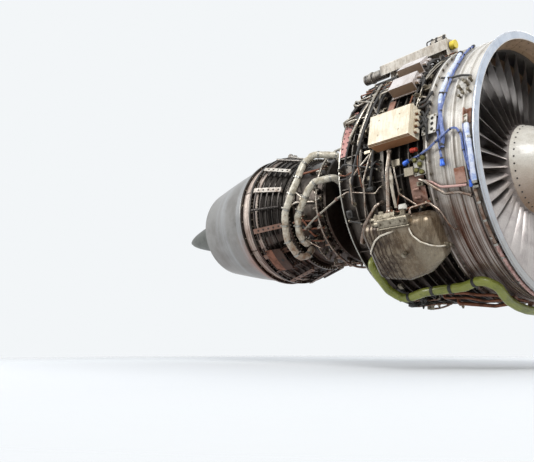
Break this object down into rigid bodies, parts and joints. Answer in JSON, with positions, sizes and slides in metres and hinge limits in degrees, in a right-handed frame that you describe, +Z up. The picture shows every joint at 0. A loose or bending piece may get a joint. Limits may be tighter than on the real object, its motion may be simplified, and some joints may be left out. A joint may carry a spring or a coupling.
{
  "type": "jet engine",
  "caption": "Two-spool turbofan without its nacelle: wide bladed fan in a ribbed case, slim core, flared turbine, tapered exhaust nozzle with plug, pipes, boxes and gearbox.",
  "frame": {"origin": "centre of the inlet flange's front face, on the engine's axis", "axes": "+X forward out of the inlet along the engine's axis, +Y to port, +Z up through the front mount"},
  "size_m": [4.076, 1.9581, 1.9312],
  "materials": {
    "case_alloy": "satin",
    "liner_composite": "matt",
    "vane_alloy": "satin",
    "spinner_paint": "satin",
    "titanium_forged": "brushed",
    "shaft_steel": "ground",
    "nickel_alloy": "heat-stained",
    "hot_case": "oxidised",
    "cold_case": "satin",
    "exhaust_sheet": "satin",
    "plug_sheet": "heat-stained",
    "tube_steel": "satin",
    "linkage_steel": "machined",
    "mount_steel": "matt",
    "tank_paint": "weathered",
    "cap_white": "gloss",
    "control_paint": "satin",
    "exciter_case": "satin",
    "lead_braid": "braided",
    "beam_paint": "weathered",
    "cap_yellow": "gloss",
    "harness_blue": "woven",
    "duct_green": "satin",
    "duct_cover": "matt",
    "gearbox_casting": "cast",
    "accessory_paint": "satin",
    "lever_brass": "plated"
  },
  "bodies": {
    "engine": {"fan_case": "case_alloy", "acoustic_liners": "liner_composite", "rub_strip": "liner_composite", "mid_case": "case_alloy", "fan_frame": "case_alloy", "outlet_vanes": "vane_alloy", "splitter": "vane_alloy", "bearings": "shaft_steel", "bearing_support": "shaft_steel", "forward_mount": "mount_steel", "hpc_case": "cold_case", "vsv_actuator": "linkage_steel", "combustion_case": "hot_case", "combustor_liner": "nickel_alloy", "fuel_nozzles": "tube_steel", "turbine_nozzle": "nickel_alloy", "lpt_case": "hot_case", "lpt_cooling_tubes": "tube_steel", "tube_brackets": "tube_steel", "turbine_rear_frame": "hot_case", "aft_mount": "mount_steel", "exhaust_nozzle": "exhaust_sheet", "exhaust_plug": "plug_sheet", "casing_bolts": "linkage_steel", "oil_tank": "tank_paint", "control_box": "control_paint", "exciter_boxes": "exciter_case", "ignition_leads": "lead_braid", "crown_beam": "beam_paint", "crown_cap": "cap_yellow", "harness": "harness_blue", "case_pipes": "tube_steel", "case_brackets": "tube_steel", "starter_duct": "duct_green", "bleed_ducts": "duct_cover", "accessory_gearbox": "gearbox_casting", "starter": "accessory_paint", "generator": "accessory_paint", "hydraulic_pump": "gearbox_casting", "fuel_control": "gearbox_casting", "lube_unit": "gearbox_casting", "transfer_gearbox": "gearbox_casting", "drive_shaft_tube": "tube_steel"},
    "fan_spool": {"spinner_nose": "spinner_paint", "spinner_cone": "spinner_paint", "fan_disk": "titanium_forged", "fan_blades": "titanium_forged", "booster_rotor": "titanium_forged", "lp_shaft": "shaft_steel", "lpt_rotor": "nickel_alloy"},
    "core_spool": {"hpc_rotor": "shaft_steel", "hpt_rotor": "nickel_alloy"},
    "radial_shaft": {"radial_shaft": "shaft_steel"},
    "drive_shaft": {"drive_shaft": "shaft_steel"},
    "vsv_rings": {"vsv_rings": "linkage_steel"},
    "vsv_crank": {"vsv_crank": "linkage_steel"},
    "vsv_rod": {"vsv_rod": "linkage_steel"},
    "power_lever": {"power_lever": "lever_brass"},
    "shutoff_lever": {"shutoff_lever": "lever_brass"},
    "oil_filler_cap": {"oil_filler_cap": "cap_white"}
  },
  "joints": [
    {"name": "fan_spool_spin", "type": "hinge", "parent": "engine", "child": "fan_spool", "pos_m": [-0.182, 0, 0], "axis": [1, 0, 0], "continuous": true},
    {"name": "core_spool_spin", "type": "hinge", "parent": "engine", "child": "core_spool", "pos_m": [-1.4, 0, 0], "axis": [1, 0, 0], "continuous": true},
    {"name": "radial_shaft_spin", "type": "hinge", "parent": "engine", "child": "radial_shaft", "pos_m": [-0.85, 0.43301, -0.25], "axis": [0, 0.866, -0.5], "continuous": true},
    {"name": "drive_shaft_spin", "type": "hinge", "parent": "engine", "child": "drive_shaft", "pos_m": [-0.7, 0.79328, -0.458], "axis": [1, 0, 0], "continuous": true},
    {"name": "vsv_ring_turn", "type": "hinge", "parent": "engine", "child": "vsv_rings", "pos_m": [-1.1, 0, 0], "axis": [1, 0, 0], "range_deg": [-3, 3]},
    {"name": "vsv_crank_turn", "type": "hinge", "parent": "engine", "child": "vsv_crank", "pos_m": [-1.024, 0.3568, 0.206], "axis": [0, 0.866, 0.5], "range_deg": [-25, 25]},
    {"name": "vsv_rod_slide", "type": "slide", "parent": "engine", "child": "vsv_rod", "axis": [1, 0, 0], "range_m": [-0.023, 0.023]},
    {"name": "power_lever_turn", "type": "hinge", "parent": "engine", "child": "power_lever", "pos_m": [-0.67, 0.99253, -0.129], "axis": [0, 0.9962, -0.0872], "range_deg": [0, 120]},
    {"name": "shutoff_lever_turn", "type": "hinge", "parent": "engine", "child": "shutoff_lever", "pos_m": [-0.725, 0.99986, -0.04532], "axis": [0, 0.9962, -0.0872], "range_deg": [0, 75]},
    {"name": "filler_cap_lift", "type": "slide", "parent": "engine", "child": "oil_filler_cap", "axis": [0, 0, 1], "range_m": [0, 0.06]}
  ],
  "couplings": [
    {"joint": "radial_shaft_spin", "follows": "core_spool_spin", "ratio": 1},
    {"joint": "drive_shaft_spin", "follows": "core_spool_spin", "ratio": 1},
    {"joint": "vsv_crank_turn", "follows": "vsv_ring_turn", "ratio": 8.2},
    {"joint": "vsv_rod_slide", "follows": "vsv_ring_turn", "m_per_rad": -0.4264}
  ]
}
